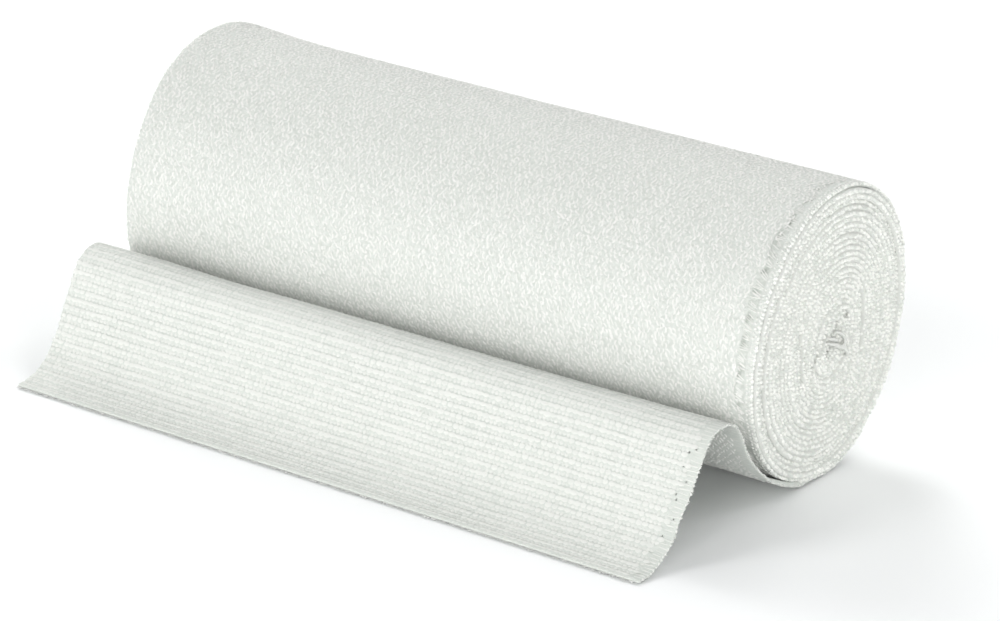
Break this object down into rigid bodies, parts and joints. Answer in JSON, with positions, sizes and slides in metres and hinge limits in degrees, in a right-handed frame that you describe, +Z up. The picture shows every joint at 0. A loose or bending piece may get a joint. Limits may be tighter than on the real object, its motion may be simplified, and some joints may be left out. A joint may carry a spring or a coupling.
{
  "type": "short stretch bandage roll",
  "caption": "Cotton short stretch bandage wound in a roll, its loose end arched in front of it with the cut edge on the surface.",
  "frame": {"origin": "middle of the whole object's box from side to side and front to back, on the surface it lies on", "axes": "+X along the roll's axis, across the cloth; -Y from the roll towards its loose end; +Z up"},
  "size_m": [0.12, 0.0794, 0.0493],
  "materials": {
    "roll_cloth": "matt white cotton crepe, uncoloured",
    "loose_cloth": "matt white cotton crepe, uncoloured, ribbed inner side"
  },
  "bodies": {
    "root": {"wound_roll": "roll_cloth", "loose_end": "loose_cloth"}
  },
  "joints": []
}
